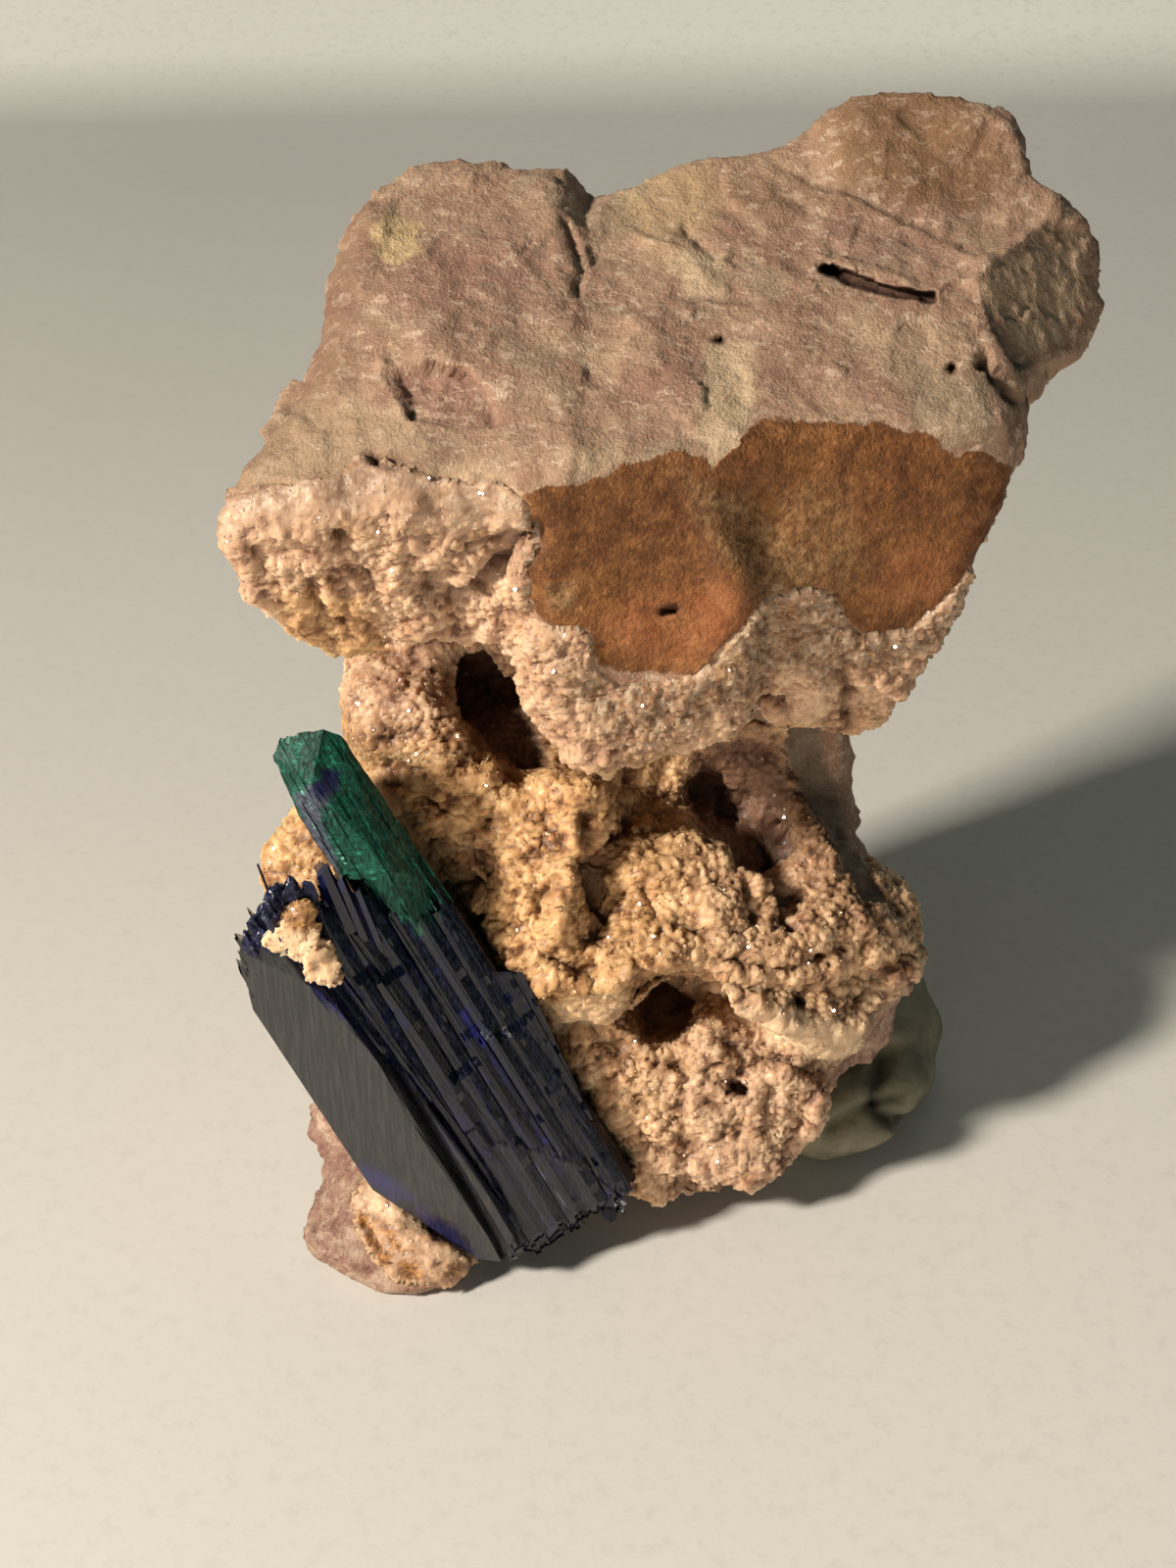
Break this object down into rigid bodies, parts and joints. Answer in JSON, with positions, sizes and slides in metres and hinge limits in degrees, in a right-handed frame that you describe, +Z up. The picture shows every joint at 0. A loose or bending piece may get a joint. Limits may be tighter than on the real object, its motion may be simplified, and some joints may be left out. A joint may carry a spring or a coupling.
{
  "type": "azurite mineral specimen",
  "caption": "Dark blue bladed azurite with a green malachite tip, grown on a vuggy, druse-lined host rock and propped upright on a wad of mounting putty.",
  "frame": {"origin": "on the surface it stands on, at the middle of the specimen's bounding box", "axes": "+Z up, -Y towards the display side that carries the azurite, +X to the viewer's right; the cap overhangs towards -Y"},
  "size_m": [0.0434, 0.0312, 0.0546],
  "materials": {
    "host_rock": "matte",
    "azurite_blue": "gloss",
    "malachite_green": "satin",
    "cream_druse": "matte",
    "grey_putty": "matte"
  },
  "bodies": {
    "root": {"matrix": "host_rock", "azurite": "azurite_blue", "malachite_tip": "malachite_green", "druse_crust": "cream_druse", "mounting_putty": "grey_putty"}
  },
  "joints": []
}
